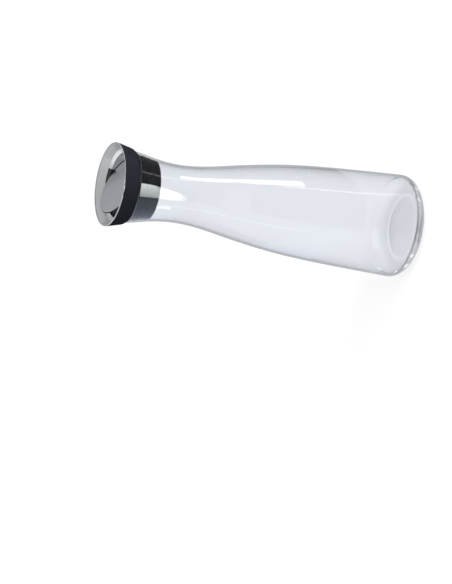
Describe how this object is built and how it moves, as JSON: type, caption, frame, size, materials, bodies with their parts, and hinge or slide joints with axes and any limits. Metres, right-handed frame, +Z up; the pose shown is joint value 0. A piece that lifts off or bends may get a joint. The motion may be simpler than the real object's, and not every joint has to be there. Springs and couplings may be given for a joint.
{
  "type": "glass carafe with self-opening pourer",
  "caption": "Tall glass carafe with a flared mouth, and a dark lift-out pouring closure whose steel flap tips open by its own weight.",
  "frame": {"origin": "centre of the base on the surface that the carafe stands on", "axes": "+Z up along the glass, -X the side it pours over, Y along the flap's cross pin"},
  "size_m": [0.111, 0.111, 0.3468],
  "materials": {
    "clear_glass": "clear, fire-polished",
    "dark_silicone": "matt moulded silicone",
    "dark_plastic": "fine matt",
    "bush_plastic": "natural, smooth",
    "polished_steel": "polished",
    "satin_steel": "satin"
  },
  "bodies": {
    "glass": {"glass_carafe": "clear_glass"},
    "closure": {"collar": "dark_silicone", "pour_funnel": "polished_steel", "hinge_ring": "dark_plastic", "plug_sleeve": "dark_silicone", "lock_ring": "dark_plastic", "pivot_bush_left": "bush_plastic", "pivot_bush_right": "bush_plastic", "closing_stop_left": "dark_silicone", "closing_stop_right": "dark_silicone", "opening_stop_left": "dark_silicone", "opening_stop_right": "dark_silicone"},
    "flap": {"flap_disc": "satin_steel", "flap_seal": "dark_silicone", "flap_carrier": "dark_plastic", "stud_rivets": "satin_steel", "pivot_pin": "polished_steel", "counterweight": "satin_steel", "counterweight_screw": "polished_steel"}
  },
  "joints": [
    {"name": "closure_lift", "type": "slide", "parent": "glass", "child": "closure", "axis": [0, 0, 1], "range_m": [0, 0.04]},
    {"name": "flap_tip", "type": "hinge", "parent": "closure", "child": "flap", "pos_m": [0, 0, 0.33114], "axis": [0, 1, 0], "range_deg": [-23.4, 0]}
  ]
}
